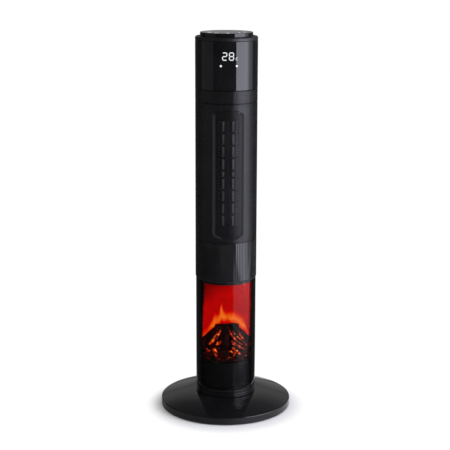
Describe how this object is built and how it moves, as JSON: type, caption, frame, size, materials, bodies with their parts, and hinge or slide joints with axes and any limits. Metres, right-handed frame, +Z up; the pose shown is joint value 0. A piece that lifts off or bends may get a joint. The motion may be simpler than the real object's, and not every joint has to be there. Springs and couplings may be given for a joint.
{
  "type": "tower heater",
  "caption": "Round black tower heater with a lit flame section, recessed warm-air outlet, gloss display head and raised control cap, swinging on a low domed base.",
  "frame": {"origin": "centre of the underside of the base, on the floor", "axes": "+Z up along the column, -Y out of the front with the outlet and the flame window, +X to the right seen from the front"},
  "size_m": [0.2774, 0.2774, 0.8],
  "materials": {
    "gloss_black": "polished black moulded plastic",
    "satin_black": "black moulded plastic with a fine dotted texture",
    "striped_black": "black moulded plastic with fine upright pinstripes",
    "plain_black": "plain black moulded plastic",
    "rubber_black": "matt black rubber",
    "smoked_clear": "clear smoked lens",
    "steel": "zinc-plated sheet and bar",
    "cast_iron": "as cast",
    "aluminium": "bare sheet",
    "pale_nylon": "natural bearing plastic",
    "circuit_green": "lacquered circuit board",
    "ember_orange": "translucent orange moulding, lit from below",
    "flame_red": "translucent red screen, lit from behind",
    "log_brown": "moulded bark, painted dark brown",
    "mica": "heat-proof board",
    "copper": "plated can"
  },
  "bodies": {
    "base": {"base_cover": "gloss_black", "base_weight": "cast_iron", "base_plate": "plain_black", "rubber_foot_1": "rubber_black", "rubber_foot_2": "rubber_black", "rubber_foot_3": "rubber_black", "rubber_foot_4": "rubber_black", "base_screw_1": "steel", "base_screw_2": "steel", "base_screw_3": "steel", "base_screw_4": "steel", "foot_ring": "gloss_black", "spindle_bush": "pale_nylon", "thrust_ring": "pale_nylon", "swing_motor": "steel", "cord_gland": "plain_black", "tip_switch_body": "pale_nylon"},
    "tower": {"turntable": "plain_black", "spindle_clip": "steel", "ring_gear": "pale_nylon", "flame_window": "smoked_clear", "lantern_rear_shell": "gloss_black", "log_plinth": "plain_black", "light_board": "circuit_green", "ember_bed": "ember_orange", "log_set": "log_brown", "flame_screen": "flame_red", "reflector": "aluminium", "rotor_bracket": "steel", "rotor_motor": "steel", "mid_deck": "plain_black", "lower_collar": "striped_black", "mains_switch_frame": "plain_black", "power_board": "circuit_green", "front_panel": "satin_black", "rear_panel": "satin_black", "element_frame": "mica", "element_core": "aluminium", "thermal_cutout": "copper", "air_duct": "steel", "blower_motor": "steel", "blower_bearing": "pale_nylon", "upper_band": "satin_black", "head_shell": "gloss_black", "display_module": "circuit_green", "shoulder_ring": "gloss_black", "top_cap": "gloss_black", "control_board": "circuit_green"},
    "pinion": {"swing_pinion": "pale_nylon"},
    "plunger": {"tip_switch_plunger": "plain_black"},
    "rotor": {"flame_rotor": "aluminium"},
    "wheel": {"blower_wheel": "aluminium"},
    "rocker": {"mains_rocker": "gloss_black"},
    "key_body_1": {"key_1": "gloss_black"},
    "key_body_2": {"key_2": "gloss_black"},
    "key_body_3": {"key_3": "gloss_black"},
    "key_body_4": {"key_4": "gloss_black"},
    "key_body_5": {"key_5": "gloss_black"}
  },
  "joints": [
    {"name": "tower_swing", "type": "hinge", "parent": "base", "child": "tower", "pos_m": [0, 0, 0.047], "axis": [0, 0, 1], "range_deg": [-35, 35]},
    {"name": "pinion_spin", "type": "hinge", "parent": "base", "child": "pinion", "pos_m": [0, -0.036, 0.043], "axis": [0, 0, 1], "range_deg": [-176, 176]},
    {"name": "plunger_slide", "type": "slide", "parent": "base", "child": "plunger", "axis": [0, 0, -1], "range_m": [0, 0.004], "stiffness_N_per_m": 60},
    {"name": "rotor_spin", "type": "hinge", "parent": "tower", "child": "rotor", "pos_m": [0, 0.022, 0.1487], "axis": [1, 0, 0], "continuous": true},
    {"name": "wheel_spin", "type": "hinge", "parent": "tower", "child": "wheel", "pos_m": [0, 0.008, 0.51], "axis": [0, 0, 1], "continuous": true},
    {"name": "rocker_tilt", "type": "hinge", "parent": "tower", "child": "rocker", "pos_m": [0, 0.0648, 0.3282], "axis": [1, 0, 0], "range_deg": [-14, 0]},
    {"name": "key_press_1", "type": "slide", "parent": "tower", "child": "key_body_1", "axis": [0, 0, -1], "range_m": [0, 0.0008], "stiffness_N_per_m": 200},
    {"name": "key_press_2", "type": "slide", "parent": "tower", "child": "key_body_2", "axis": [0, 0, -1], "range_m": [0, 0.0008], "stiffness_N_per_m": 200},
    {"name": "key_press_3", "type": "slide", "parent": "tower", "child": "key_body_3", "axis": [0, 0, -1], "range_m": [0, 0.0008], "stiffness_N_per_m": 200},
    {"name": "key_press_4", "type": "slide", "parent": "tower", "child": "key_body_4", "axis": [0, 0, -1], "range_m": [0, 0.0008], "stiffness_N_per_m": 200},
    {"name": "key_press_5", "type": "slide", "parent": "tower", "child": "key_body_5", "axis": [0, 0, -1], "range_m": [0, 0.0008], "stiffness_N_per_m": 200}
  ],
  "couplings": [
    {"joint": "pinion_spin", "follows": "tower_swing", "ratio": 5}
  ]
}
